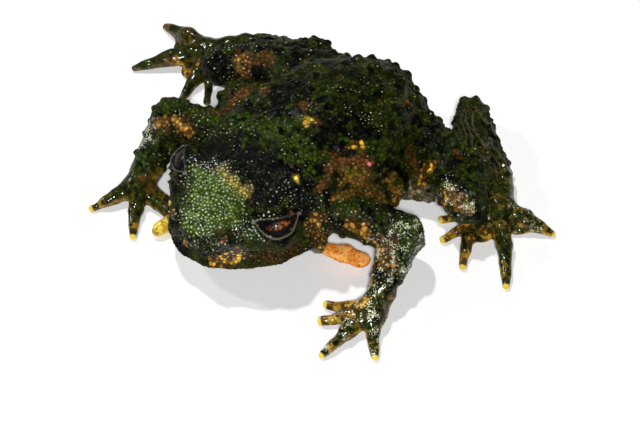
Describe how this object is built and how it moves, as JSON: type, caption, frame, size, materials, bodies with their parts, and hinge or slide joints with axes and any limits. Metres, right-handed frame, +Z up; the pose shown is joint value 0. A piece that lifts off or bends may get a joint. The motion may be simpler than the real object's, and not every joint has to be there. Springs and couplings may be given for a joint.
{
  "type": "hochstetters frog",
  "caption": "Still life-size model of a small warty green and brown frog, squatting on its belly with folded hind legs and spread toes.",
  "frame": {"origin": "on the floor under the chest, on the middle of the belly's flat", "axes": "+Z up from the floor, -Y towards the snout, +X towards the frog's left side"},
  "size_m": [0.0671, 0.048, 0.015],
  "materials": {
    "body_skin": "wet granular skin, near-black green with green, orange-brown and gold patches",
    "eye": "glossy copper and black iris under a clear wet surface"
  },
  "bodies": {
    "root": {"torso": "body_skin", "head": "body_skin", "lower_jaw": "body_skin", "eye_l": "eye", "eye_r": "eye", "upper_arm_l": "body_skin", "upper_arm_r": "body_skin", "forearm_l": "body_skin", "forearm_r": "body_skin", "hand_l": "body_skin", "hand_r": "body_skin", "thigh_l": "body_skin", "thigh_r": "body_skin", "shank_l": "body_skin", "shank_r": "body_skin", "tarsus_l": "body_skin", "tarsus_r": "body_skin", "foot_l": "body_skin", "foot_r": "body_skin"}
  },
  "joints": []
}
